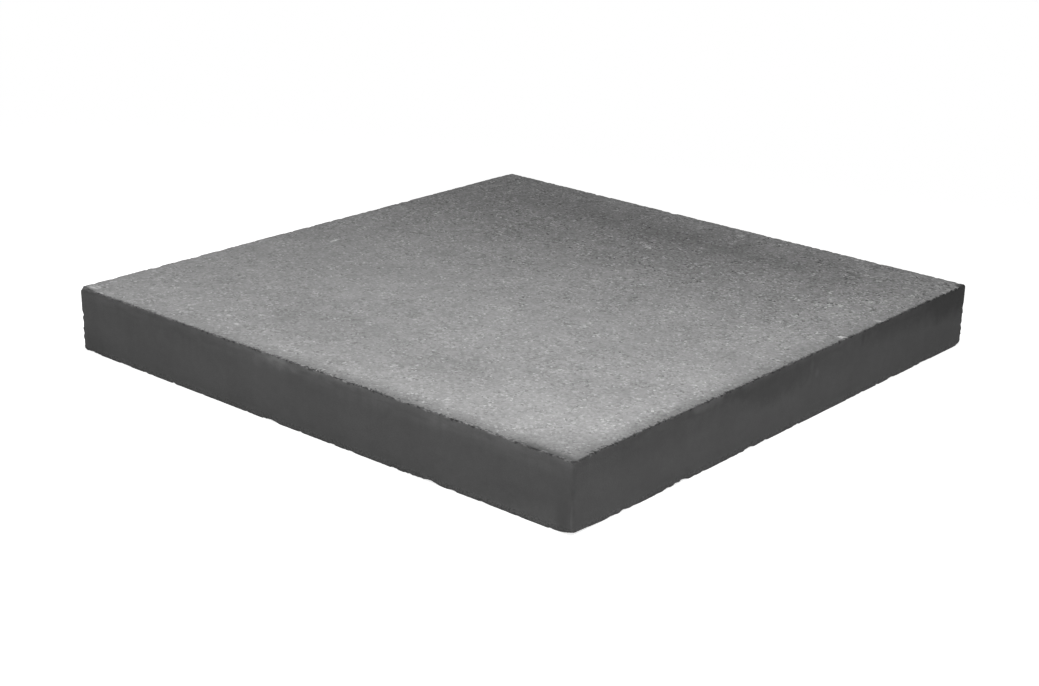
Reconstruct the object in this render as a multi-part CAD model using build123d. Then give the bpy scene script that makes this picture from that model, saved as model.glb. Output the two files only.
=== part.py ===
"""Square concrete paving slab, pressed in a mould as one piece.

Millimetres, +Z up. The origin is the middle of the bed face, which lies on the ground. The length runs
along X and the width along Y. The wearing face is on top.
"""

import os

from build123d import *

# Slab as sold
SLAB_LENGTH = 400.0
SLAB_WIDTH = 400.0
SLAB_THICKNESS = 41.3

# Edges left by the mould
UPRIGHT_ARRIS_RADIUS = 2.0
FACE_ARRIS_RADIUS = 0.9
BED_ARRIS_RADIUS = 1.2

# Bed corners knocked off in handling: how far each break reaches along the length, along the width
# and up the corner
FRONT_BREAK_LENGTH = 4.6
FRONT_BREAK_WIDTH = 5.6
FRONT_BREAK_HEIGHT = 4.2
LEFT_BREAK_LENGTH = 4.0
LEFT_BREAK_WIDTH = 3.6
LEFT_BREAK_HEIGHT = 3.6
RIGHT_BREAK_LENGTH = 3.8
RIGHT_BREAK_WIDTH = 9.0
RIGHT_BREAK_HEIGHT = 3.2


def pressed_block():
    """The slab as it leaves the mould: a flat block with every arris slightly rounded."""
    plan = RectangleRounded(SLAB_LENGTH, SLAB_WIDTH, UPRIGHT_ARRIS_RADIUS)
    block = extrude(plan, amount=SLAB_THICKNESS)
    block = fillet(block.edges().group_by(Axis.Z)[-1], FACE_ARRIS_RADIUS)
    return fillet(block.edges().group_by(Axis.Z)[0], BED_ARRIS_RADIUS)


def knock_off(block, end, side, reach_length, reach_width, reach_height):
    """Breaks one bed corner away along a flat. end and side are the signs of its X and Y."""
    corner = Vector(end * SLAB_LENGTH / 2, side * SLAB_WIDTH / 2, 0)
    on_length = corner - Vector(end * reach_length, 0, 0)
    on_width = corner - Vector(0, side * reach_width, 0)
    on_upright = corner + Vector(0, 0, reach_height)
    inward = (on_width - on_length).cross(on_upright - on_length) * (end * side)
    return split(block, bisect_by=Plane(on_upright, z_dir=inward), keep=Keep.TOP)


def paving_slab():
    """The block with the three broken bed corners. The fourth corner is whole."""
    slab = pressed_block()
    slab = knock_off(slab, 1, -1, FRONT_BREAK_LENGTH, FRONT_BREAK_WIDTH, FRONT_BREAK_HEIGHT)
    slab = knock_off(slab, -1, -1, LEFT_BREAK_LENGTH, LEFT_BREAK_WIDTH, LEFT_BREAK_HEIGHT)
    return knock_off(slab, 1, 1, RIGHT_BREAK_LENGTH, RIGHT_BREAK_WIDTH, RIGHT_BREAK_HEIGHT)


os.makedirs("parts", exist_ok=True)
export_step(paving_slab(), "parts/paving_slab.step")
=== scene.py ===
# %% [markdown]
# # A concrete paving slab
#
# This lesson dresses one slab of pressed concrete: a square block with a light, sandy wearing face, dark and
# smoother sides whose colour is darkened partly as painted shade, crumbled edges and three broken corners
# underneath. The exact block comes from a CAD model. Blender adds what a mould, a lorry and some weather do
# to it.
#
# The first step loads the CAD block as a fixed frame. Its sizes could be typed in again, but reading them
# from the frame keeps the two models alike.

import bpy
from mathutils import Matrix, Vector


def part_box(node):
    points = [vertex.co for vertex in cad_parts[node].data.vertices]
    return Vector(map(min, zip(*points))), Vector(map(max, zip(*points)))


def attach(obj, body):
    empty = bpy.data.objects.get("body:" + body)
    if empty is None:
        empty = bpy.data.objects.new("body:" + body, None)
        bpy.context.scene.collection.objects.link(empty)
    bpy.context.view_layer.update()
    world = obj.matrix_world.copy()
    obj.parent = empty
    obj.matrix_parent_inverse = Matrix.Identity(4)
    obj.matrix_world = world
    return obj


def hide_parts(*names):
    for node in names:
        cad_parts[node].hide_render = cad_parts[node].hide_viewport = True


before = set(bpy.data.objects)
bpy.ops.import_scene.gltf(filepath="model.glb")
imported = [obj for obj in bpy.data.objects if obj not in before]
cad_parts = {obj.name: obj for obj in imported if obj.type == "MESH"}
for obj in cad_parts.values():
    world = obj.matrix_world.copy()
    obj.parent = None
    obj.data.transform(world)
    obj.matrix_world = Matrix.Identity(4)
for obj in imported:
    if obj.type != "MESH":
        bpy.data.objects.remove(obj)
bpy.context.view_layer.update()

MM = 0.001
highest_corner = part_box("paving_slab")[1]
HALF_LENGTH = highest_corner.x
HALF_WIDTH = highest_corner.y
THICKNESS = highest_corner.z
print(f"{len(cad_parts)} CAD node, {2 * HALF_LENGTH / MM:.0f} x {2 * HALF_WIDTH / MM:.0f} mm, "
      f"{THICKNESS / MM:.1f} mm thick")

# %% [markdown]
# ## The camera
#
# A render can only be compared with a photograph from the same place. A camera could be moved there by
# eye, but a fit to the six straight edges that show is quicker, and right to under a pixel. It gives
# three turns: round the slab, down to it, and a little roll. The photograph was cropped off centre, and
# turning the camera for that would bend the perspective, so the lens is shifted.

# %% Make the camera
import math

import bpy
from mathutils import Matrix, Vector

CAMERA_PLACE = Vector((0.7406, -0.8570, 0.4092))
CAMERA_AZIMUTH = math.radians(37.731)
CAMERA_ELEVATION = math.radians(19.679)
CAMERA_ROLL = math.radians(2.100)
PHOTO_WIDTH = 1039
FOCAL_PIXELS = 1862.4
LENS_MIDDLE_PIXELS = 110.0


def add_object(data):
    """Puts a mesh, a lamp or a camera into the scene as an object of the same name."""
    made = bpy.data.objects.new(data.name, data)
    bpy.context.scene.collection.objects.link(made)
    return made


lens = bpy.data.cameras.new("camera")
lens.sensor_fit = "HORIZONTAL"
lens.lens = FOCAL_PIXELS / PHOTO_WIDTH * lens.sensor_width
lens.shift_x = -LENS_MIDDLE_PIXELS / PHOTO_WIDTH
camera = add_object(lens)
camera.matrix_world = (Matrix.Translation(CAMERA_PLACE) @ Matrix.Rotation(CAMERA_AZIMUTH, 4, "Z")
                       @ Matrix.Rotation(math.pi / 2 - CAMERA_ELEVATION, 4, "X")
                       @ Matrix.Rotation(CAMERA_ROLL, 4, "Z"))
bpy.context.scene.camera = camera
print(f"lens {lens.lens:.1f} mm, shifted by {lens.shift_x:.3f} of the width")

# %% [markdown]
# ## A block with vertices where the shape changes
#
# The real slab is one casting, so it becomes one mesh. A cube is a good start, because its faces can be
# named while there are only six. Faces that are cut up later keep the name in a layer of their own, for
# the map.

# %% Make the exact block
import bmesh

WEARING, BED, LEFT, RIGHT, FRONT, REAR = range(6)
SIDE_NORMALS = {WEARING: (0, 0, 1), BED: (0, 0, -1), LEFT: (-1, 0, 0), RIGHT: (1, 0, 0),
                FRONT: (0, -1, 0), REAR: (0, 1, 0)}

block = bmesh.new()
bmesh.ops.create_cube(block, size=1.0)
for vertex in block.verts:
    vertex.co.x *= 2 * HALF_LENGTH
    vertex.co.y *= 2 * HALF_WIDTH
    vertex.co.z = (vertex.co.z + 0.5) * THICKNESS

side_layer = block.faces.layers.int.new("side")
block.normal_update()
for face in block.faces:
    face[side_layer] = max(SIDE_NORMALS, key=lambda side: face.normal.dot(Vector(SIDE_NORMALS[side])))
print(f"a block of {len(block.faces)} named sides")

# %% [markdown]
# A real slab is flat in its middle and ragged along its edges, which builders call arrises. A finely
# divided cube or a voxel remesh would spend most of its faces on the flat middle. So the block is first
# cut into coarse square cells.

# %% Cut the block into cells
CELL = 8 * MM


def slice_along(axis, length):
    """Cuts every edge that runs the whole length of one axis into cells."""
    lines = [edge for edge in block.edges
             if abs(edge.verts[0].co[axis] - edge.verts[1].co[axis]) > length / 2]
    bmesh.ops.subdivide_edges(block, edges=lines, cuts=round(length / CELL) - 1, use_grid_fill=True)


slice_along(0, 2 * HALF_LENGTH)
slice_along(1, 2 * HALF_WIDTH)
slice_along(2, THICKNESS)
print(f"coarse cage: {len(block.faces)} cells")

# %% [markdown]
# Finer cells go where the form turns, so Blender has to know how near a point is to an arris. Selecting
# edges by hand works once. Distances from the faces of the block still work after every cut: a point is
# near an arris when it is near two faces at once.


# %% Measure the distance to an arris
def gaps(place):
    """How far a point lies in from the outline, from the nearest upright arris and from the wearing face."""
    in_x = HALF_LENGTH - abs(place.x)
    in_y = HALF_WIDTH - abs(place.y)
    return min(in_x, in_y), max(in_x, in_y), THICKNESS - place.z


def near_arris(place, reach):
    """True within reach of any arris: two of the three gaps are small there."""
    outline_gap, upright_gap, depth = gaps(place)
    return sorted((outline_gap, upright_gap, min(depth, place.z)))[1] < reach


def near_wearing_arris(place, reach):
    """True within reach of the arris round the wearing face."""
    outline_gap, _, depth = gaps(place)
    return max(outline_gap, depth) < reach


within_reach = sum(near_arris(vertex.co, CELL) for vertex in block.verts)
print(f"{within_reach} of {len(block.verts)} vertices lie within {CELL / MM:.0f} mm of an arris")

# %% [markdown]
# Now the cells near an arris are halved, as a modeller adds loop cuts. The wearing face and the sides get
# two rounds everywhere, for their fine relief. The bed lies on the ground, so its middle stays coarse.
# The arris round the wearing face is seen most, and gets one round more.

# %% Halve the cells near the arrises
ARRIS_REACH = 5.2 * MM
WEARING_ARRIS_REACH = 1.6 * MM


def halve_cells(wanted):
    """Halves every edge whose two ends are wanted."""
    edges = [edge for edge in block.edges if wanted(edge.verts[0].co) and wanted(edge.verts[1].co)]
    bmesh.ops.subdivide_edges(block, edges=edges, cuts=1, use_grid_fill=True)
    print(f"halved: {len(block.faces)} faces")


halve_cells(lambda place: place.z > 0 or near_arris(place, 2 * CELL))
halve_cells(lambda place: place.z > 0 or near_arris(place, CELL))
halve_cells(lambda place: near_arris(place, ARRIS_REACH))
halve_cells(lambda place: near_wearing_arris(place, WEARING_ARRIS_REACH))

# %% [markdown]
# ## From the cage to arrays
#
# All the shaping that follows moves vertices by formula. Python loops over a hundred thousand vertices
# are slow, and numpy moves them all at once. So the places are read into an array with one row for each
# vertex. The array keeps the exact block.

# %% Read the places
import numpy as np

mesh = bpy.data.meshes.new("paving_slab_cast")
block.to_mesh(mesh)
block.free()


def read_all(items, name, kind, width=1):
    """Reads one property of all items into an array with a row for each item."""
    values = np.empty((len(items), width), kind)
    items.foreach_get(name, values.ravel())
    return values.squeeze()


exact = read_all(mesh.vertices, "co", np.float32, 3).astype(float)
face_side = read_all(mesh.attributes["side"].data, "value", np.int32)
face_corners = read_all(mesh.polygons, "loop_total", np.int32)
corner_vertex = read_all(mesh.loops, "vertex_index", np.int32)
print(f"{len(exact)} vertices, {(face_corners - 2).sum()} triangles")

# %% [markdown]
# The finish can be baked into a picture later, so every face needs a place on a flat map. Smart UV
# Project would cut a crumbled surface into hundreds of scraps. While the block is still exact, each side
# can have one clean patch: the largest for the wearing face, strips beside it for the four sides, and the
# corner that is left for the bed.

# %% Give each side a patch of the map
MAP_GAP = 0.01
MAP_LARGE = 0.77
MAP_STRIP = MAP_LARGE * THICKNESS / (2 * HALF_LENGTH)
MAP_SECOND = MAP_GAP + MAP_LARGE + MAP_GAP
MAP_THIRD = MAP_SECOND + MAP_STRIP + MAP_GAP
MAP_SMALL = 1.0 - MAP_SECOND - MAP_GAP

block_size = (2 * HALF_LENGTH, 2 * HALF_WIDTH, THICKNESS)
in_length, in_width, in_height = ((exact + (HALF_LENGTH, HALF_WIDTH, 0.0)) / block_size).T
patches = {
    WEARING: (MAP_GAP + in_length * MAP_LARGE, MAP_GAP + in_width * MAP_LARGE),
    BED: (MAP_SECOND + in_width * MAP_SMALL, MAP_SECOND + in_length * MAP_SMALL),
    LEFT: (MAP_SECOND + in_height * MAP_STRIP, MAP_GAP + in_width * MAP_LARGE),
    RIGHT: (MAP_THIRD + in_height * MAP_STRIP, MAP_GAP + in_width * MAP_LARGE),
    FRONT: (MAP_GAP + in_length * MAP_LARGE, MAP_SECOND + in_height * MAP_STRIP),
    REAR: (MAP_GAP + in_length * MAP_LARGE, MAP_THIRD + in_height * MAP_STRIP),
}
print(f"{len(patches)} patches, the largest {MAP_LARGE:.2f} of the map wide and the bed's {MAP_SMALL:.2f}")

# %% [markdown]
# A vertex on an arris has a place in two patches. Blender keeps the map at the corners of faces for that
# reason, so each corner takes the patch of its face's side. The layer with the names has then done its
# work.

# %% Write the map
corner_side = np.repeat(face_side, face_corners)
layout = np.empty((len(mesh.loops), 2), np.float32)
for named_side, (map_across, map_up) in patches.items():
    here = corner_side == named_side
    layout[here, 0] = map_across[corner_vertex[here]]
    layout[here, 1] = map_up[corner_vertex[here]]
mesh.uv_layers.new(name="OFBake").data.foreach_set("uv", layout.ravel())
mesh.attributes.remove(mesh.attributes["side"])
print(f"{len(layout)} corners laid out, from {layout.min():.2f} to {layout.max():.2f}")

# %% [markdown]
# ## Arrises that crumble
#
# The thin edge of cement paste on a fresh slab is weak. It breaks back a little everywhere, and no two
# stretches are alike, which is what noise is for. One size of bump looks like a pattern, so three are
# added up. A Displace modifier could use such noise too, but here it also steers the radii and the
# nibbles below.

# %% Make the crumble noise
from mathutils import noise

RIPPLE_START = (0.37, 0.61, 0.83)
RIPPLE_STEP = (5.1, 7.3, 3.7)


def ripple(size, seed):
    """Smooth noise between about -1 and 1 at every vertex, with bumps about size across."""
    shift = Vector([start + step * seed for start, step in zip(RIPPLE_START, RIPPLE_STEP)])
    return np.array([noise.noise(Vector(place) / size + shift) for place in exact])


fine_crumble = ripple(2.3 * MM, 1)
coarse_crumble = ripple(5.9 * MM, 2)
long_crumble = ripple(17.0 * MM, 3)
crumble = 0.5 * fine_crumble + 0.7 * coarse_crumble + 0.5 * long_crumble
print(f"crumble from {crumble.min():.2f} to {crumble.max():.2f}")

# %% [markdown]
# A Bevel modifier would give every arris one even radius, which reads as plastic. Here the radius follows
# the noise, so the arris is sharp in some places and round in others. Hands and boots wear it further,
# most beside the far right corner.

# %% Choose the radii
WEARING_ARRIS = 0.4 * MM
BED_ARRIS = 0.25 * MM
LEAST_ARRIS = 0.2 * MM
MOST_ARRIS = 2.6 * MM
FRONT_CORNER = (HALF_LENGTH, -HALF_WIDTH)
HANDLED = {
    "front corner": (0.3 * MM, FRONT_CORNER, (60 * MM, 18 * MM)),
    "left half of the front": (0.35 * MM, (-0.65 * HALF_LENGTH, -HALF_WIDTH), (110 * MM, 15 * MM)),
    "far right corner": (1.1 * MM, (HALF_LENGTH, HALF_WIDTH - 18 * MM), (14 * MM, 15 * MM)),
}


def wear(most, middle, reach):
    """A value that is most at a middle on the plan and fades out by a reach along X and Y."""
    away = (exact[:, :2] - middle) / reach
    return most * np.exp(-(away ** 2).sum(axis=1))


handling = sum(wear(*stretch) for stretch in HANDLED.values())
wearing_radius = np.clip(WEARING_ARRIS * (1.0 + crumble) + handling, LEAST_ARRIS, MOST_ARRIS)
bed_radius = np.clip(BED_ARRIS * (1.0 + crumble), LEAST_ARRIS, MOST_ARRIS)
print(f"worn at the {', the '.join(HANDLED)}")
print(f"wearing arris radius {wearing_radius.min() / MM:.2f} to {wearing_radius.max() / MM:.2f} mm")

# %% [markdown]
# The four upright arrises come first, because they change the plan that the others follow. In the corner
# of the plan, each square ring of vertices becomes a ring with a round corner: a vertex keeps its ring
# and slides to the arc. That leaves the flat sides untouched, and gives each vertex the way out of the
# block, which the next steps need.

# %% Round the upright arrises
UPRIGHT_ARRIS = {(-1, -1): 0.6 * MM, (1, -1): 1.6 * MM, (1, 1): 0.4 * MM, (-1, 1): 0.8 * MM}

half_plan = np.array([HALF_LENGTH, HALF_WIDTH])
quarter = np.where(exact[:, :2] < 0, -1, 1)
upright_radius = np.array([UPRIGHT_ARRIS[tuple(signs)] for signs in quarter])
core = half_plan - upright_radius[:, None]
anchor = np.clip(exact[:, :2], -core, core)
offset = exact[:, :2] - anchor
gap_from_sides = half_plan - np.abs(exact[:, :2])
gap_from_outline = gap_from_sides.min(axis=1)
nearest_side = np.where(gap_from_sides == gap_from_outline[:, None], quarter, 0.0)
outward = np.where(np.any(offset != 0, axis=1)[:, None], offset, nearest_side)
outward /= np.linalg.norm(outward, axis=1)[:, None]
plan = anchor + outward * np.abs(offset).max(axis=1)[:, None]
print(f"{len(UPRIGHT_ARRIS)} upright arrises, up to {upright_radius.max() / MM:.1f} mm round")

# %% [markdown]
# The arrises of the two faces work in the same way, in the plane that stands upright on the edge: the
# inset from the outline and the height both go to an arc of the local radius. The direction that the
# surface faces is kept as two numbers, the lean to the side and the tilt up or down.

# %% Round the arrises of the two faces
inset = gap_from_outline.copy()
height = exact[:, 2].copy()
lean = np.where((height > 0) & (height < THICKNESS), 1.0, 0.0)
tilt = np.where(height >= THICKNESS, 1.0, np.where(height <= 0, -1.0, 0.0))


def round_arris(radius, face_height, direction):
    """Bends the cells beside one face's arris onto an arc of the local radius."""
    sideways = radius - inset
    upward = radius - (face_height - height) * direction
    turn = (sideways > 0) & (upward > 0)
    swing = np.hypot(sideways, upward)[turn]
    lean[turn] = sideways[turn] / swing
    tilt[turn] = direction * upward[turn] / swing
    inset[turn] = radius[turn] * (1.0 - lean[turn])
    height[turn] = face_height - direction * radius[turn] * (1.0 - np.abs(tilt[turn]))
    return turn.sum()


bent = round_arris(wearing_radius, THICKNESS, 1.0)
bent += round_arris(bed_radius, 0.0, -1.0)
places = np.column_stack([plan + outward * (gap_from_outline - inset)[:, None], height])
normals = np.column_stack([outward * lean[:, None], tilt])
print(f"{bent} vertices bent onto the arcs")

# %% [markdown]
# ## Relief of the faces
#
# The wearing face was opened to its sand, so it has a fine tooth. The sides slid along the mould and only
# wave a little. The bed is the rough side. A bump in the material wouldn't change the outline, so the
# relief is real, and it is pressed inwards, so that the slab still fits its box. Single grains are
# smaller than a cell, and they wait for the material.

# %% Press the relief into the faces
WEARING_TOOTH = 0.12 * MM
SIDE_WAVE = 0.08 * MM
SIDE_TOOTH = 0.05 * MM
BED_ROUGHNESS = 0.3 * MM
WAVE_LENGTH = 43.0 * MM


def dents(bumps):
    """Noise turned into a depth share, from 0 at the exact face to 1."""
    return np.clip(0.4 + 0.9 * bumps, 0.0, 1.0)


tooth = 0.5 * dents(fine_crumble) + 0.5 * dents(coarse_crumble)
wave = dents(ripple(WAVE_LENGTH, 4))
face_depth = np.where(tilt > 0, WEARING_TOOTH * tooth, BED_ROUGHNESS * tooth * wave)
side_depth = SIDE_WAVE * wave + SIDE_TOOTH * tooth
relief = np.abs(tilt) * face_depth + lean * side_depth
places -= normals * relief[:, None]
print(f"relief up to {relief.max() / MM:.2f} mm deep")

# %% [markdown]
# The rim of the bed is nibbled away where the slab was set down, and beside the front corner it lifts off
# the ground altogether. Sculpting would give such a rim by hand. Pulling it in by noise gives it all
# round in one step, and the same in each run.

# %% Nibble the rim of the bed
BED_NIBBLE = 1.4 * MM
BED_NIBBLE_REACH = 8.0 * MM
RIM_WAVE = 26.0 * MM
INWARD_SHARE = 0.6
CORNER_LIFT = 1.1 * MM
CORNER_LIFT_REACH = (8 * MM, 22 * MM)
SET_DOWN = {
    "middle of the front": (0.35, (15 * MM, -HALF_WIDTH), (120 * MM, 25 * MM)),
    "near half of the right side": (0.3, (HALF_LENGTH, -100 * MM), (25 * MM, 110 * MM)),
}


def nibble(amount, reach, face_height, direction, share):
    """Crumbles a rim: pulls it off its face and in from the outline, most at the arris itself."""
    gap = np.hypot(gap_from_outline, (face_height - exact[:, 2]) * direction)
    pull = amount * share * np.clip(1.0 - gap / reach, 0.0, 1.0) ** 1.5
    places[:, 2] -= direction * pull
    places[:, :2] -= outward * INWARD_SHARE * pull[:, None]
    return pull.max()


bed_wave = 0.2 * ripple(RIM_WAVE, 5) + 0.45 * long_crumble + 0.4 * coarse_crumble + 0.15 * fine_crumble
set_down = sum(wear(*stretch) for stretch in SET_DOWN.values())
bed_share = np.clip((0.8 + 1.8 * set_down) * bed_wave + 0.25 * set_down - 0.12, 0.0, 1.0)
deepest = nibble(BED_NIBBLE, BED_NIBBLE_REACH, 0.0, -1.0, bed_share)
nibble(CORNER_LIFT, BED_NIBBLE_REACH, 0.0, -1.0, wear(1.0, FRONT_CORNER, CORNER_LIFT_REACH))
print(f"bed rim nibbled up to {deepest / MM:.2f} mm, most at the {' and the '.join(SET_DOWN)}")

# %% [markdown]
# The other arrises are nibbled less. They break where the crumble noise is high, so a nibble falls where
# the radius is large as well, and the two read as one piece of damage.

# %% Nibble the other arrises
WEARING_NIBBLE = 0.5 * MM
WEARING_NIBBLE_REACH = 2.5 * MM
UPRIGHT_NIBBLE = 0.9 * MM
UPRIGHT_NIBBLE_REACH = 3.0 * MM

arris_share = np.clip(1.1 * coarse_crumble + 0.8 * fine_crumble, 0.0, 1.0)
wearing_deepest = nibble(WEARING_NIBBLE, WEARING_NIBBLE_REACH, THICKNESS, 1.0, arris_share)
gap_from_upright = np.hypot(gap_from_sides[:, 0], gap_from_sides[:, 1])
upright_fade = np.clip(1.0 - gap_from_upright / UPRIGHT_NIBBLE_REACH, 0.0, 1.0)
upright_pull = UPRIGHT_NIBBLE * arris_share * upright_fade
places[:, :2] -= outward * upright_pull[:, None]
print(f"nibbled: wearing arris up to {wearing_deepest / MM:.2f} mm, "
      f"upright ones up to {upright_pull.max() / MM:.2f} mm")

# %% [markdown]
# ## Broken corners and chipped edges
#
# Three corners of the bed were knocked off flat in handling. A boolean would leave long thin faces and a
# hard rim. The cells are fine enough to be pushed back to a plane instead, with a little tooth. How much
# each vertex lost is kept, and the material makes old chips near the wearing face darker by it.

# %% Knock off the bed corners
BREAK_TOOTH = 0.25 * MM
# The signs of a corner's X and Y, and how far the break reaches along X, Y and Z
BED_BREAKS = {
    (1, -1): (7.0 * MM, 5.0 * MM, 4.2 * MM),
    (-1, -1): (3.2 * MM, 3.0 * MM, 1.6 * MM),
    (1, 1): (3.0 * MM, 6.5 * MM, 1.8 * MM),
}
lost = np.zeros(len(places))


def knock_off(end, side, reach):
    """Pushes one bed corner back to a plane."""
    corner = np.array([end * HALF_LENGTH, side * HALF_WIDTH, 0.0])
    slope = np.array([end, side, -1.0]) / reach
    steepness = np.linalg.norm(slope)
    past = ((places - corner) @ slope + 1.0) / steepness
    broken_off = past > 0
    push = past[broken_off] + BREAK_TOOTH * tooth[broken_off]
    places[broken_off] -= push[:, None] * slope / steepness
    lost[broken_off] += push


for (end, side), reach in BED_BREAKS.items():
    knock_off(end, side, reach)
print(f"{(lost > 0).sum()} vertices pushed back at {len(BED_BREAKS)} bed corners")

# %% [markdown]
# The arrises lost small scallops where one slab knocked against the next. Concrete breaks in shells, so
# each chip is the print of a ball: what lies inside it is pushed out to its surface. A boolean with many
# balls would be slow and leave slivers. The random generator has a fixed seed, so that every run gives
# the same slab.

# %% Make a tool for chips
CHIP_SEED = 41
chance = np.random.default_rng(CHIP_SEED)


def scallop(middle, radius):
    """Pushes what lies inside a ball out to its surface."""
    away = places - middle
    distance = np.linalg.norm(away, axis=1)
    inside = distance < radius
    places[inside] = middle + away[inside] * (radius / np.maximum(distance[inside], 1e-9))[:, None]
    lost[inside] += radius - distance[inside]


def chip_arris(start, end, outwards, count, radii, bites):
    """Takes scallops out along one arris. outwards points away from the block, between its two faces."""
    start = np.array(start)
    run = np.array(end) - start
    outwards = np.array(outwards) / np.linalg.norm(outwards)
    for _ in range(count):
        radius = chance.uniform(*radii)
        bite = radius * chance.uniform(*bites)
        middle = start + run * chance.uniform() + outwards * (radius - bite)
        scallop(middle, radius)


print(f"chips are random, from seed {CHIP_SEED}")

# %% [markdown]
# The arris of the wearing face has many small chips, because boots, spades and other slabs meet it first.
# The bed and the upright arrises have fewer and larger ones.

# %% Chip the arrises all round
# How many chips on one arris, their radii, and how much of a radius they bite off
WEARING_CHIPS = (12, (0.8 * MM, 1.7 * MM), (0.25, 0.5))
BED_CHIPS = (5, (1.5 * MM, 3.0 * MM), (0.25, 0.5))
UPRIGHT_CHIPS = (5, (1.2 * MM, 2.4 * MM), (0.3, 0.5))

for end in (-1, 1):
    x = end * HALF_LENGTH
    y = end * HALF_WIDTH
    for face_height, upwards, chips in ((THICKNESS, 1, WEARING_CHIPS), (0.0, -1, BED_CHIPS)):
        chip_arris((x, -HALF_WIDTH, face_height), (x, HALF_WIDTH, face_height), (end, 0, upwards), *chips)
        chip_arris((-HALF_LENGTH, y, face_height), (HALF_LENGTH, y, face_height), (0, end, upwards), *chips)
    for side in (-1, 1):
        foot = (x, side * HALF_WIDTH, 0.0)
        head = (x, side * HALF_WIDTH, THICKNESS)
        chip_arris(foot, head, (end, side, 0), *UPRIGHT_CHIPS)
print(f"{(lost > 0).sum()} vertices chipped or broken")

# %% [markdown]
# A few chips show one by one in the photograph, and each is put in its place: the broken left and right
# corners of the wearing face, two bites beside the left one, a notch in the right arris, a handled
# stretch beside the front corner, and a wide flat bite out of the bed rim.


# %% Chip the places that show
def chip_once(place, outwards, radius, bite):
    """Takes one scallop out of one place."""
    chip_arris(place, place, outwards, 1, (radius, radius), (bite, bite))


chip_once((-HALF_LENGTH, -HALF_WIDTH, THICKNESS), (-1, -1, 1), 6.0 * MM, 0.3)
chip_once((HALF_LENGTH, HALF_WIDTH, THICKNESS), (1, 1, 1), 2.6 * MM, 0.4)
chip_once((-191 * MM, -HALF_WIDTH, THICKNESS), (0, -1, 1), 7 * MM, 0.2)
chip_once((-171 * MM, -HALF_WIDTH, THICKNESS), (0, -1, 1), 5 * MM, 0.2)
chip_once((HALF_LENGTH, 89 * MM, THICKNESS), (1, 0, 1), 3 * MM, 0.35)
handled_start = (HALF_LENGTH, -HALF_WIDTH + 10 * MM, THICKNESS)
handled_end = (HALF_LENGTH, -HALF_WIDTH + 34 * MM, THICKNESS)
chip_arris(handled_start, handled_end, (1, 0, 1), 5, (0.9 * MM, 1.7 * MM), (0.4, 0.7))
chip_once((-HALF_LENGTH + 7.5 * MM, -HALF_WIDTH, 0.0), (0, -1, -1), 12 * MM, 0.08)
print(f"{(lost > 0).sum()} vertices chipped or broken in all")

# %% [markdown]
# The new places go back into the mesh, with the lost depth as an attribute that the material can read.
# Smooth shading hides the cells, and the fine cells at the arrises keep them crisp. The slab then takes
# the place of the plain CAD block and moves with its body.

# %% Write the shape back
mesh.vertices.foreach_set("co", places.astype(np.float32).ravel())
mesh.attributes.new("broken", "FLOAT", "POINT").data.foreach_set("value", (lost / MM).astype(np.float32))
mesh.update()
mesh.shade_smooth()
slab = add_object(mesh)
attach(slab, "root")
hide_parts("paving_slab")
print(f"{slab.name}: {len(mesh.polygons)} faces")

# %% [markdown]
# ## The concrete
#
# Concrete is grey, so its pattern is a matter of tone: every step below makes one number that varies over
# the surface, and only the last step turns it into a colour. Patterns on the flat map would break at its
# seams. Object coordinates go through the slab like the mix itself, and they are in metres, so every size
# here is a real size.

# %% Open the material
concrete = bpy.data.materials.new("concrete")
concrete.use_nodes = True
nodes = concrete.node_tree.nodes
links = concrete.node_tree.links

slab_place = nodes.new("ShaderNodeTexCoord").outputs["Object"]
place_parts = nodes.new("ShaderNodeSeparateXYZ")
links.new(slab_place, place_parts.inputs[0])
slab_x, slab_y, slab_z = place_parts.outputs
print(f"{concrete.name}: {len(nodes)} nodes to start with")

# %% [markdown]
# A tree of some hundreds of nodes is hard to draw by hand and harder to change. Short helpers write it as
# sums and products instead. Each adds one kind of node and returns its output.


# %% Add and multiply
def put(value, socket):
    """Gives a socket a number, or links it to the output of another node."""
    if isinstance(value, bpy.types.NodeSocket):
        links.new(value, socket)
    else:
        socket.default_value = value


def maths(operation, *values):
    """One Math node."""
    node = nodes.new("ShaderNodeMath")
    node.operation = operation
    for value, socket in zip(values, node.inputs):
        put(value, socket)
    return node.outputs[0]


def product(first, *others):
    """All the values multiplied."""
    for other in others:
        first = maths("MULTIPLY", first, other)
    return first


def total(first, *others):
    """All the values added up."""
    for other in others:
        first = maths("ADD", first, other)
    return first


def minus(first, second):
    """The first value less the second."""
    return maths("SUBTRACT", first, second)


print("helpers: put, maths, product, total and minus")

# %% [markdown]
# A finish on concrete rarely has a hard edge. A Math node could compare two values, but that gives a
# step. A Map Range node with smooth ends goes from one level to another instead.


# %% Fade from one level to another
def fade(value, low, high, start=0.0, end=1.0):
    """Goes smoothly from start at low to end at high, and stays level outside."""
    node = nodes.new("ShaderNodeMapRange")
    node.interpolation_type = "SMOOTHSTEP"
    for number, name in ((low, "From Min"), (high, "From Max"), (start, "To Min"), (end, "To Max")):
        put(number, node.inputs[name])
    put(value, node.inputs["Value"])
    return node.outputs["Result"]


print("helper: fade")

# %% [markdown]
# Two kinds of chance make up the rest. Clouds are for what spreads without an edge, such as damp, paste
# and oil. Cells are for what comes in pieces, such as grains and pores.


# %% Make clouds and cells
def in_sizes(size):
    """The place measured in sizes: one size for all axes, or one for each."""
    node = nodes.new("ShaderNodeVectorMath")
    node.operation = "DIVIDE"
    put(slab_place, node.inputs[0])
    node.inputs[1].default_value = size if isinstance(size, tuple) else (size, size, size)
    return node.outputs[0]


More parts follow.
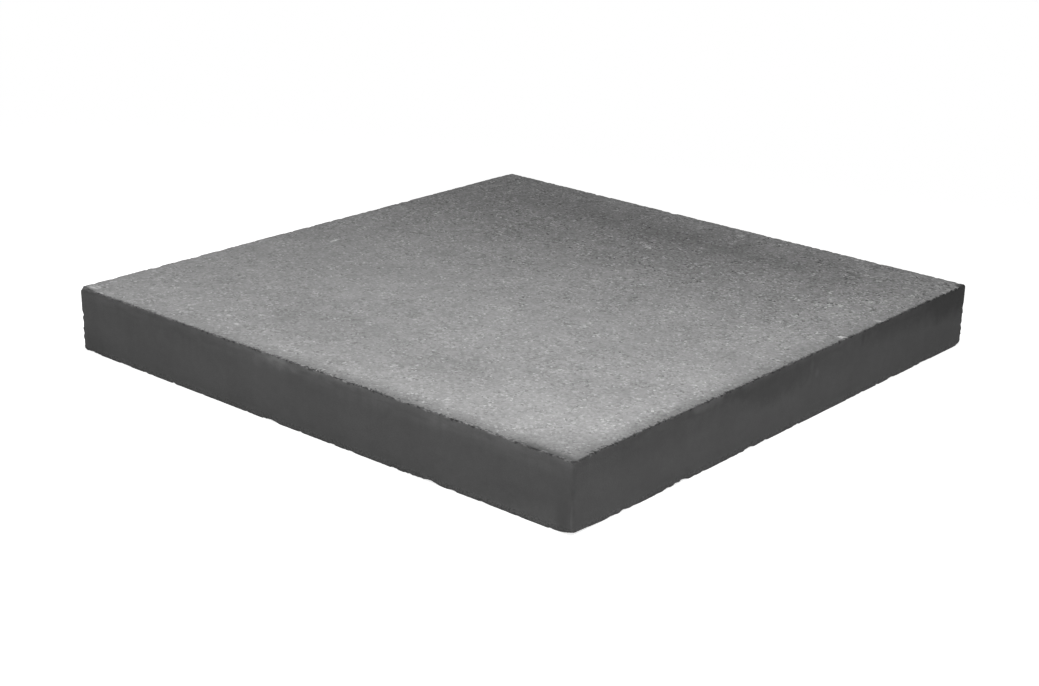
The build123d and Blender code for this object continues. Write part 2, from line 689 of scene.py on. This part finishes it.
def clouds(size, detail=2.0):
    """Cloudy noise around 0, mostly between -0.3 and 0.3."""
    node = nodes.new("ShaderNodeTexNoise")
    put(in_sizes(size), node.inputs["Vector"])
    put(1.0, node.inputs["Scale"])
    put(detail, node.inputs["Detail"])
    return minus(node.outputs["Fac"], 0.5)


def cells(size):
    """Random cells: a random number for each cell, and the distance from its middle in sizes."""
    node = nodes.new("ShaderNodeTexVoronoi")
    put(in_sizes(size), node.inputs["Vector"])
    put(1.0, node.inputs["Scale"])
    split = nodes.new("ShaderNodeSeparateColor")
    put(node.outputs["Color"], split.inputs[0])
    return split.outputs[0], node.outputs["Distance"]


print("helpers: clouds and cells")

# %% [markdown]
# ## The wearing face
#
# Sand shows on the face that people walk on: pale quartz, grey stone and a few dark grains in cement
# paste. Noise alone would look like fog, so each grain is a cell with a tone of its own, and larger,
# fainter cells stand for coarse sand. A colour ramp deals out the tones, with 0.5 for plain paste, so the
# result is doubled to make plain paste 1.

# %% Sand of the wearing face
GRAIN = 1.3 * MM
COARSE_GRAIN = 2.9 * MM
DUST = 0.6 * MM
# The share of grains up to each stop, and its tone
GRAIN_TONES = ((0.0, 0.24), (0.07, 0.38), (0.5, 0.5), (0.88, 0.6), (0.95, 0.71), (1.0, 0.88))


def ramp_tones(value, stops):
    """A curve through the stops, as a colour ramp draws it."""
    node = nodes.new("ShaderNodeValToRGB")
    ramp = node.color_ramp
    while len(ramp.elements) < len(stops):
        ramp.elements.new(0.5)
    for element, (position, tone) in zip(ramp.elements, stops):
        element.position = position
        element.color = (tone, tone, tone, 1.0)
    put(value, node.inputs["Fac"])
    return node.outputs["Color"]


grain_chance, grain_edge = cells(GRAIN)
coarse_chance, _ = cells(COARSE_GRAIN)
sand = product(ramp_tones(grain_chance, GRAIN_TONES), 2.0,
               fade(coarse_chance, 0.0, 1.0, 0.93, 1.07),
               fade(clouds(DUST), -0.2, 0.2, 0.9, 1.1))
print(f"sand grains of {GRAIN / MM:.1f} and {COARSE_GRAIN / MM:.1f} mm")

# %% [markdown]
# The sand doesn't show everywhere alike: in places a film of paste still covers it, near the arrises it
# is polished, and towards the rear the face is more open. One number for the contrast says all that. It
# scales how far a grain departs from plain paste, and how high it stands.

# %% Film, polish and open sand
FILM_SIZE = 9 * MM
POLISH_REACH = 5 * MM
GRAIN_RELIEF = 0.12

from_end = minus(HALF_LENGTH, maths("ABSOLUTE", slab_x))
from_side = minus(HALF_WIDTH, maths("ABSOLUTE", slab_y))
from_outline = maths("MINIMUM", from_end, from_side)
film = fade(clouds(FILM_SIZE, 3.0), -0.12, 0.12, 1.15, 0.55)
polish = fade(from_outline, 0.5 * MM, POLISH_REACH, 0.5, 1.0)
opened = fade(slab_y, -50 * MM, 160 * MM, 0.79, 1.48)
contrast = product(film, polish, opened)
grain = maths("MULTIPLY_ADD", contrast, minus(sand, 1.0), 1.0)
grain_height = product(fade(grain_edge, 0.1, 0.8, 1.0, 0.0), contrast, GRAIN_RELIEF)
print(f"{len(nodes)} nodes with the sand")

# %% [markdown]
# Larger marks have places of their own: a band of damp and painted shade, a scuff, a stain. An image texture
# would fix their sharpness, so each is a soft oval instead. It is a factor for the tone, and 1 outside, so
# any number of ovals can be multiplied.


# %% Draw soft ovals
def oval(across, along, middle, reach, strength, core=0.2):
    """A soft oval: 1 + strength in its core, and 1 outside its reach."""
    square = 0.0
    for line, start, size in zip((across, along), middle, reach):
        share = maths("DIVIDE", minus(line, start), size)
        square = total(product(share, share), square)
    return fade(maths("SQRT", square), core, 1.0, 1.0 + strength, 1.0)


def ovals(across, along, rows):
    """Ovals from rows: the middle and the reach in millimetres, the strength, and maybe the core."""
    return [oval(across, along, (u * MM, v * MM), (width * MM, length * MM), *strength)
            for u, v, width, length, *strength in rows]


print("helpers: oval and ovals")

# %% [markdown]
# A darker band lies along the rear of the face, partly damp and partly painted shade that carries some of
# the fall of the lamp's light towards the rear, and a weaker damp one along the front, with small clouds
# between them, and the right margin is paler. Plain ovals would show as ovals, so noise bends the
# coordinates first.

# %% Clouds of damp and painted shade
# The three rear ovals are partly damp and partly painted shade, for the light falling off towards the rear.
DAMP_AND_SHADE = [
    (-40, 156, 150, 40, -0.2), (80, 154, 130, 36, -0.2), (-40, 110, 210, 80, -0.12),
    (-10, 75, 34, 26, -0.08), (25, 110, 75, 75, -0.05), (0, -142, 190, 42, -0.12),
    (-28, -95, 22, 16, -0.06), (122, -162, 65, 48, 0.1), (25, -182, 36, 24, -0.07),
    (-126, 177, 20, 14, 0.08),
]

bend = product(clouds(31 * MM, 3.0), 60 * MM)
bent_x = total(slab_x, bend)
bent_y = total(slab_y, product(clouds(27 * MM, 3.0), 50 * MM))
right_margin = fade(bent_x, HALF_LENGTH - 70 * MM, HALF_LENGTH - 12 * MM, 1.0, 1.1)
mix_clouds = [fade(clouds(13 * MM, 3.0), -0.25, 0.25, 0.94, 1.06),
              fade(clouds(47 * MM, 2.0), -0.25, 0.25, 0.94, 1.06)]
damp_and_shade = product(right_margin, *mix_clouds, *ovals(bent_x, bent_y, DAMP_AND_SHADE))
print(f"{len(DAMP_AND_SHADE)} clouds of damp and a paler margin")

# %% [markdown]
# Small marks have clear places, so their ovals aren't bent. Two pale scuffs show where something hard was
# dragged, and pale crumbs of sand stand out at the corners and along the right arris. The broken left and
# right corners are dark, and so are three chips by the front corner.

# %% Scuffs, crumbs and dark corners
SCUFFS = [(-1, 119, 5, 5, 0.85), (-162.6, -21.5, 2.6, 6.5, 0.85), (-165, -28.6, 5, 2.4, 0.25)]
CRUMBS = [
    (-193, -195.2, 6, 1.7, 1.0), (-191.5, -192, 4, 1.8, 0.7), (-181, -198.6, 3, 1.6, 0.7),
    (198.8, 190, 3.6, 2.2, 1.2), (199, 181.5, 3.6, 2.2, 1.2), (199, 174, 3.6, 2.2, 1.0),
    (183, 164, 3, 2, 0.6), (197.6, 95, 4, 3, 1.2), (197.6, 53.5, 4, 3, 1.2),
    (-93, -172, 3, 2, 0.5), (-79, -158, 3, 2, 0.6), (-78, -179, 3, 2, 0.5),
    (22, 68, 3, 3, 0.6), (28.7, 187.2, 3.5, 3.5, 0.8), (-8.7, 134.9, 3, 3, 0.5), (35.5, 85.7, 3, 3, 0.4),
]
DARK_CHIPS = [(198.2, -183, 1.2, 1.6, -0.5), (198.1, -178.5, 1.3, 1.5, -0.55),
              (198, -174, 1.2, 1.5, -0.5)]
DARK_CORNERS = [(-199, -200.5, 9, 5, -0.62, 0.55), (200, 200, 7, 13, -0.62, 0.5)]

small_marks = product(*ovals(slab_x, slab_y, SCUFFS + CRUMBS + DARK_CHIPS + DARK_CORNERS))
print(f"{len(SCUFFS)} scuffs, {len(CRUMBS)} crumbs, {len(DARK_CHIPS)} chips, {len(DARK_CORNERS)} corners")

# %% [markdown]
# The two near rims are dirtier than the rest, more so towards the front corner, where the slab was carried.
# The front arris beside it is rubbed soft, and there the face is painted darker before it turns down:
# painted shade of the round arris, which also keeps it from a pale line. A number that is 0 in the rubbed
# stretch and 1 elsewhere is kept for the painted shadow under the lip and the painted shade of the flecks.

# %% Handled rims
RUBBED_PLACE = (HALF_LENGTH - 6 * MM, -HALF_WIDTH)
RUBBED_REACH = (42 * MM, 14 * MM)


def blend(share, first, second):
    """The first value where the share is 0, and the second where it is 1."""
    node = nodes.new("ShaderNodeMix")
    put(share, node.inputs["Factor"])
    put(first, node.inputs["A"])
    put(second, node.inputs["B"])
    return node.outputs["Result"]


from_front = total(HALF_WIDTH, slab_y)
from_right = minus(HALF_LENGTH, slab_x)
from_near = maths("MINIMUM", from_front, from_right)
unrubbed = oval(slab_x, slab_y, RUBBED_PLACE, RUBBED_REACH, -1.0, 0.5)
# Painted shade: the face darkens towards the rubbed front arris.
painted_rim_shade = blend(unrubbed, fade(from_front, 0.3 * MM, 7 * MM, 0.5, 1.0), 1.0)
carried = minus(oval(slab_x, slab_y, FRONT_CORNER, (400 * MM, 400 * MM), 0.34), 0.96)
near_rim = fade(total(from_near, product(bend, 0.08)), 0.0, 15 * MM, 1.0, 0.0)
clean_rim = minus(1.0, product(carried, near_rim))
dull_corner = oval(slab_x, slab_y, FRONT_CORNER, (60 * MM, 45 * MM), -0.22)
print(f"rubbed for {RUBBED_REACH[0] / MM:.0f} mm beside the front corner")

# %% [markdown]
# All of these are factors around 1, so the finish of the face is one tone times the rest. The tone is the
# share of light that dry, pressed concrete gives back.

# %% Finish of the wearing face
WEARING_TONE = 0.231

# Painted shade is among these factors: the darker band along the rear and the darkening before the rubbed
# front arris.
wearing_tone = product(WEARING_TONE, grain, damp_and_shade, small_marks, clean_rim, painted_rim_shade, dull_corner)
print(f"wearing face at a tone of {WEARING_TONE}, {len(nodes)} nodes so far")

# %% [markdown]
# ## The sides
#
# Against the mould the paste closed over the sand, so the sides are smoother and a little darker, and
# stained by release oil; the rest of their darkness is painted shade of sides that face away from the lamp.
# Fine paste smeared along the arris in streaks and ran down in places. A streak is only noise that is
# flattened, and a run is noise that is stretched upwards, so no drawing is needed.

# %% Mottle, streaks and runs
STREAK_SIZE = (23 * MM, 23 * MM, 5 * MM)
RUN_SIZE = (4.3 * MM, 4.3 * MM, 50 * MM)

depth_below = minus(THICKNESS, slab_z)
mottle = product(fade(clouds(24 * MM, 3.0), -0.25, 0.25, 0.92, 1.08),
                 fade(clouds(5 * MM, 2.0), -0.25, 0.25, 0.97, 1.03),
                 fade(clouds(0.9 * MM, 2.0), -0.3, 0.3, 0.95, 1.05))
streaks = product(fade(clouds(STREAK_SIZE, 3.0), -0.3, 0.3, -1.0, 1.0),
                  fade(depth_below, 1 * MM, 13 * MM, 0.22, 0.0))
runs = product(fade(clouds(RUN_SIZE, 2.0), -0.3, 0.3, -1.0, 1.0),
               fade(depth_below, 4 * MM, 24 * MM, 0.045, 0.0))
print(f"{len(nodes)} nodes with the streaks and runs of paste")

# %% [markdown]
# The sandy finish stops where the surface drops below the face. That line is crumbly, so noise is added to
# the depth, and the sum is called the lip. A thin dark line sits just under it, broken into dashes: painted
# shadow under the crumbly lip, made even where the arris is rubbed. Painted by hand, it would be spoilt by a
# change of the radius.

# %% Painted shadow under the arris
DASH_SIZE = 3.4 * MM

lip_noise = total(product(clouds(1.4 * MM, 2.0), 2.2 * MM), product(clouds(4.6 * MM, 2.0), 2.6 * MM))
lip = total(depth_below, lip_noise, product(maths("MINIMUM", from_outline, 6 * MM), -0.4))
dashes = fade(clouds(DASH_SIZE, 2.0), 0.0, 0.12)
# Painted shadow under the lip: broken into dashes, and an even band in the rubbed stretch.
painted_lip_shadow = product(fade(lip, 0.6 * MM, 1.5 * MM, 1.0, 0.0), blend(unrubbed, 0.65, dashes))
print(f"dirt in dashes of about {DASH_SIZE / MM:.1f} mm")

# %% [markdown]
# On the arris itself are dark flecks, painted shade for the pits where grains fell out of the face, most on
# the two near edges; they also darken the round arris, where light would draw a pale line.
# Chips in the mesh would be the honest way, but each fleck is smaller than a cell. So they are a mask:
# close to the outline, high up, and broken by noise.

# %% Flecks of painted shade along the arris
FLECK_SIZE = 1.8 * MM

fleck_edge = total(from_outline, product(clouds(FLECK_SIZE, 2.0), 12 * MM))
# Painted shade of small pits along the arris, which also darkens the round arris.
painted_fleck_shade = product(unrubbed, fade(fleck_edge, 0.4 * MM, 1.4 * MM, 1.0, 0.0),
                 fade(depth_below, 0.2 * MM, 0.8 * MM, 1.0, 0.0),
                 fade(from_near, 3 * MM, 6 * MM, 0.6, 0.2),
                 fade(slab_x, -80 * MM, 20 * MM, 0.65, 1.15),
                 fade(clouds(33 * MM, 1.0), -0.1, 0.1, 0.75, 1.2))
print(f"flecks of about {FLECK_SIZE / MM:.1f} mm")

# %% [markdown]
# The foot of the sides is grainy, where the mix was short of paste, and painted paler, as painted light
# against the shade where it meets the floor. The bed has open pores, where air was trapped, painted dark as
# shade in their hollows. A pore is a small ball in the middle of a cell, and the cell's own chance gives its
# size. The photograph doesn't show the bed, and this is what such slabs usually have.

# %% Foot and bed
PORE_SPACING = 7 * MM
LARGEST_PORE = 0.24

foot_grain = product(fade(clouds(1.1 * MM, 3.0), -0.15, 0.15, -1.0, 1.0),
                     fade(slab_z, 2 * MM, 5 * MM, 0.25, 0.0))
# Painted light: the foot is lifted against the shade where it meets the floor.
painted_foot_light = fade(slab_z, 1 * MM, 7 * MM, 1.21, 1.0)
pore_chance, pore_edge = cells(PORE_SPACING)
pore_size = fade(pore_chance, 0.35, 1.0, 0.02, LARGEST_PORE)
pores = product(fade(maths("DIVIDE", pore_edge, pore_size), 0.75, 1.05, 1.0, 0.0),
                fade(slab_z, 0.4 * MM, 1.0 * MM, 1.0, 0.0))
print(f"pores up to {2 * LARGEST_PORE * PORE_SPACING / MM:.1f} mm across")

# %% [markdown]
# ## Stains of the sides
#
# Each side has stains of its own, so each needs a mask. Masks from the direction of the surface would
# flicker with the bumps. The distance from the front and from the right is steadier. Height is bent by
# noise here, as length and width were above.

# %% Tell the sides apart
at_right = fade(minus(from_front, from_right), -1.5 * MM, 1.5 * MM)
on_front = product(fade(from_front, 2 * MM, 3 * MM, 1.0, 0.0), minus(1.0, at_right))
on_right = product(fade(from_right, 2 * MM, 3 * MM, 1.0, 0.0), at_right)
on_hidden = minus(1.0, total(on_front, on_right))
bent_z = total(slab_z, product(clouds(9 * MM, 3.0), 12 * MM))
print(f"{len(nodes)} nodes with the masks of the sides")

# %% [markdown]
# The front is palest under its arris, where paste smeared down, darker on the left, and pale again at its
# foot beside the front corner, with a narrow painted shadow and a painted highlight along the upright arris.
# These have clear places in the photograph, so each is an oval given one by one.

# %% Stains of the front, with a painted shadow and highlight
FRONT_STAINS = [
    (-22, 38, 30, 7, 0.38), (0, 41, 75, 5, 0.46), (-115, 36, 42, 8, -0.15), (60, 37, 70, 9, 0.1),
    (150, 38, 80, 12, 0.12), (138, 41, 55, 5, 0.2), (-190, 4, 40, 20, -0.16), (170, 2, 80, 13, 0.34),
]
# A painted shadow and a painted highlight beside the upright front arris.
PAINTED_CORNER_SHADOW = (193, 8, 6, 18, -0.14)
PAINTED_CORNER_HIGHLIGHT = (199.6, 6, 1.5, 17, 0.4)

front_stains_and_painted_light = product(fade(depth_below, 1 * MM, 13 * MM, 1.22, 1.0),
                       *ovals(bent_x, bent_z, FRONT_STAINS),
                       *ovals(slab_x, bent_z, [PAINTED_CORNER_SHADOW]),
                       *ovals(slab_x, slab_z, [PAINTED_CORNER_HIGHLIGHT]))
print(f"{len(FRONT_STAINS) + 2} stains on the front")

# %% [markdown]
# The right side is a little darker all over. Oil hangs under its arris in dark patches, deepest towards
# the far corner, with one pale smear of paste between them and a few thin drips. The patches are bent
# like the clouds above, and the dark end and the neat drips aren't.

# %% Stains of the right side
RIGHT_SHARE = 0.925
RIGHT_STAINS = [
    (-120, 36, 110, 18, -0.17), (-84, 40, 20, 6, 0.42, 0.4), (-58, 36, 18, 6, -0.28), (-102, 38, 9, 6, -0.2),
    (-20, 33, 55, 15, -0.42), (35, 34, 45, 15, -0.12), (85, 41, 45, 6, -0.2), (130, 38, 90, 15, -0.36),
    (185, 37, 60, 19, -0.68, 0.35), (-185, 2, 60, 11, 0.16),
]
DARK_END = (196, 36, 40, 22, -0.35)
DRIPS = [(17, 34, 3, 7, 0.3), (23, 28, 3, 4, 0.25), (73, 36, 3, 6, -0.3)]

right_stains = product(RIGHT_SHARE, fade(depth_below, 1 * MM, 3 * MM, 1.08, 1.0),
                       *ovals(bent_y, bent_z, RIGHT_STAINS),
                       *ovals(slab_y, slab_z, [DARK_END] + DRIPS))
print(f"{len(RIGHT_STAINS) + 1} stains and {len(DRIPS)} drips on the right side")

# %% [markdown]
# The photograph doesn't show the other two sides. They came from the same mould, so they have the same
# stains, oil and paste. Ovals could be made up for them, but where there is nothing to copy, noise
# chooses places as well as a hand.

# %% Stains of the hidden sides
OIL_SIZE = 41 * MM
PASTE_SIZE = 29 * MM

oil = product(fade(clouds(OIL_SIZE, 2.0), -0.08, 0.14), fade(bent_z, 20 * MM, 37 * MM))
paste = product(fade(clouds(PASTE_SIZE, 2.0), 0.02, 0.2), fade(bent_z, 31 * MM, 42 * MM))
hidden_stains = product(fade(oil, 0.0, 1.0, 1.0, 0.62), fade(paste, 0.0, 1.0, 1.0, 1.35))
print(f"{len(nodes)} nodes with all the stains")

# %% [markdown]
# The finish of the sides is again one tone times the rest. That tone is darker than the wearing face's,
# partly for the closed paste and partly as painted shade of sides that face away from the lamp. A paler rib
# runs up the front corner, where the paste is thickest. The skin is nearly smooth and the foot grainy and
# painted paler; under the arris lies a painted shadow, and the pores are painted dark as shade in their
# hollows.

# %% Finish of the sides
# The tone of the sides is partly their darker skin and partly painted shade of faces turned from the lamp.
SIDE_SKIN_AND_SHADE_TONE = 0.142

# The foot is painted paler as painted light, and the lip's shadow and the pores are painted darker as
# painted shade.
skin = product(mottle, total(1.0, streaks, runs, foot_grain), painted_foot_light,
               fade(painted_lip_shadow, 0.0, 1.0, 1.0, 0.5), fade(pores, 0.0, 1.0, 1.0, 0.45))
front_rib = oval(slab_x, slab_y, FRONT_CORNER, (3 * MM, 3 * MM), 0.16)
side_skin_and_shade_tone = product(SIDE_SKIN_AND_SHADE_TONE, skin, front_rib, blend(on_front, 1.0, front_stains_and_painted_light),
                    blend(on_right, 1.0, right_stains), blend(on_hidden, 1.0, hidden_stains))
side_height = total(product(clouds(0.9 * MM, 3.0), 0.10), product(foot_grain, 0.4),
                    product(painted_lip_shadow, -0.25), product(pores, -0.8))
print(f"skin of the sides at {SIDE_SKIN_AND_SHADE_TONE / WEARING_TONE:.2f} of the wearing face's tone")

# %% [markdown]
# ## One material from both finishes
#
# Two materials would be simpler, but the line between them would follow the mesh. So both finishes are in
# one material, with the lip as the mask for tone and height alike. Old chips near the wearing face are made
# darker.

# %% Join the finishes
wearing_mask = fade(lip, -0.2 * MM, 0.35 * MM, 1.0, 0.0)
broken = nodes.new("ShaderNodeAttribute")
broken.attribute_name = "broken"
# Old chips near the wearing face are made darker.
old_chips = product(fade(broken.outputs["Fac"], 0.02, 0.15), fade(depth_below, 2 * MM, 4 * MM, 0.35, 0.0))

# The flecks darken the arris here, as painted shade.
concrete_tone = product(blend(wearing_mask, side_skin_and_shade_tone, wearing_tone),
                        minus(1.0, painted_fleck_shade), minus(1.0, old_chips))
concrete_height = blend(wearing_mask, side_height, grain_height)
print(f"{len(nodes)} nodes with the joined finishes")

# %% [markdown]
# The last nodes hand it all to the shader. The same tone goes to red, green and blue, since the concrete
# is a neutral grey. The heights are in millimetres, and the bump is told so. A low specular level keeps
# dry concrete from looking wet.

# %% Feed the shader
SIDE_ROUGHNESS = 0.72
WEARING_ROUGHNESS = 0.88
SPECULAR_LEVEL = 0.3

bump = nodes.new("ShaderNodeBump")
bump.inputs["Distance"].default_value = MM
put(concrete_height, bump.inputs["Height"])
colour = nodes.new("ShaderNodeCombineColor")
for channel in colour.inputs:
    put(concrete_tone, channel)

shader = nodes["Principled BSDF"]
put(colour.outputs[0], shader.inputs["Base Color"])
put(blend(wearing_mask, SIDE_ROUGHNESS, WEARING_ROUGHNESS), shader.inputs["Roughness"])
put(bump.outputs[0], shader.inputs["Normal"])
shader.inputs["Specular IOR Level"].default_value = SPECULAR_LEVEL
mesh.materials.append(concrete)
print(f"{concrete.name}: {len(nodes)} nodes")

# %% [markdown]
# ## Floor, light and background
#
# The slab lies on a plain pale floor. One large square is enough, because its edge is far outside the
# picture.

# %% Lay the floor
FLOOR_SIZE = 12.0

floor_mesh = bpy.data.meshes.new("floor")
floor_form = bmesh.new()
bmesh.ops.create_grid(floor_form, x_segments=1, y_segments=1, size=FLOOR_SIZE / 2)
floor_form.to_mesh(floor_mesh)
floor_form.free()
floor = add_object(floor_mesh)
print(f"floor {FLOOR_SIZE:.0f} m wide")

# %% [markdown]
# In the photograph the floor is white and the sides of the slab are dark, but a truly white floor would
# light them up. So what the camera sees and what lights the slab are two different things, and the Light
# Path node tells which ray is asking. Rays by way of a mirror or through glass count as the camera's.


# %% Choose what the camera sees
def show_to_camera(tree, lighting, shown, end_kind):
    """Ends a node tree with two shaders: one that the camera sees, and one that lights the slab."""
    path = tree.nodes.new("ShaderNodeLightPath")
    seen = path.outputs["Is Camera Ray"]
    for ray in ("Is Glossy Ray", "Is Transmission Ray"):
        either = tree.nodes.new("ShaderNodeMath")
        either.operation = "MAXIMUM"
        tree.links.new(seen, either.inputs[0])
        tree.links.new(path.outputs[ray], either.inputs[1])
        seen = either.outputs[0]
    choice = tree.nodes.new("ShaderNodeMixShader")
    tree.links.new(seen, choice.inputs[0])
    tree.links.new(lighting.outputs[0], choice.inputs[1])
    tree.links.new(shown.outputs[0], choice.inputs[2])
    tree.links.new(choice.outputs[0], tree.nodes.new(end_kind).inputs["Surface"])


print("helper: show_to_camera")

# %% [markdown]
# The floor that lights the slab is plain grey paper. The one that shows is pale, and glows just enough to
# look white. More glow would wash out the shadow at the foot of the slab, and without it the slab would
# float.

# %% Colour the floor
FLOOR_TONE = 0.25
FLOOR_SHOWN_TONE = 0.8
FLOOR_GLOW = 0.8

paper = bpy.data.materials.new("floor_paper")
paper.use_nodes = True
paper.node_tree.nodes.clear()
lighting_paper = paper.node_tree.nodes.new("ShaderNodeBsdfDiffuse")
lighting_paper.inputs["Color"].default_value = (FLOOR_TONE, FLOOR_TONE, FLOOR_TONE, 1.0)
pale_paper = paper.node_tree.nodes.new("ShaderNodeBsdfDiffuse")
pale_paper.inputs["Color"].default_value = (FLOOR_SHOWN_TONE, FLOOR_SHOWN_TONE, FLOOR_SHOWN_TONE, 1.0)
glow = paper.node_tree.nodes.new("ShaderNodeEmission")
glow.inputs["Strength"].default_value = FLOOR_GLOW
shown_paper = paper.node_tree.nodes.new("ShaderNodeAddShader")
paper.node_tree.links.new(pale_paper.outputs[0], shown_paper.inputs[0])
paper.node_tree.links.new(glow.outputs[0], shown_paper.inputs[1])
show_to_camera(paper.node_tree, lighting_paper, shown_paper, "ShaderNodeOutputMaterial")
floor_mesh.materials.append(paper)
print(f"{paper.name}: lights with a tone of {FLOOR_TONE}, shows as {FLOOR_SHOWN_TONE}")

# %% [markdown]
# Even light from all round stands for the walls of the studio. It is dim, because the sides of the slab
# are dark. The background that the camera sees is white.

# %% Light the room
WORLD_STRENGTH = 0.25
WHITE = (1.0, 1.0, 1.0, 1.0)

world = bpy.data.worlds.new("studio")
world.use_nodes = True
world.node_tree.nodes.clear()
bpy.context.scene.world = world
room = world.node_tree.nodes.new("ShaderNodeBackground")
room.inputs["Color"].default_value = WHITE
room.inputs["Strength"].default_value = WORLD_STRENGTH
backdrop = world.node_tree.nodes.new("ShaderNodeBackground")
backdrop.inputs["Color"].default_value = WHITE
show_to_camera(world.node_tree, room, backdrop, "ShaderNodeOutputWorld")
print(f"room light of {WORLD_STRENGTH}")

# %% [markdown]
# One soft lamp gives the rest. It hangs over the slab and points at the floor before the near corner, so
# that corner is bright and the far one is darker. A sun would light both alike. The view transform is
# Standard, which shows a tone as it is written.

# %% Hang the lamp
LAMP_PLACE = Vector((0.11, -0.13, 1.10))
LAMP_AIM = Vector((0.23, -0.55, 0.04))
LAMP_SIZE = 0.6
LAMP_WATTS = 5.7
LAMP_SPREAD = math.radians(90)

lamp_light = bpy.data.lights.new("lamp", "AREA")
lamp_light.shape = "SQUARE"
lamp_light.size = LAMP_SIZE
lamp_light.energy = LAMP_WATTS
lamp_light.spread = LAMP_SPREAD
lamp = add_object(lamp_light)
lamp.location = LAMP_PLACE
lamp.rotation_euler = (LAMP_AIM - LAMP_PLACE).to_track_quat("-Z", "Y").to_euler()
lamp.visible_camera = False
bpy.context.scene.view_settings.view_transform = "Standard"
print(f"lamp of {LAMP_WATTS:.1f} W at {LAMP_PLACE.z:.2f} m")

# %% [markdown]
# ## The end
#
# The dressed slab has to stay inside the box of the CAD block.

# %% [markdown]
# The last line says that the slab is done.

# %% Finish
print(f"{slab.name} is done")
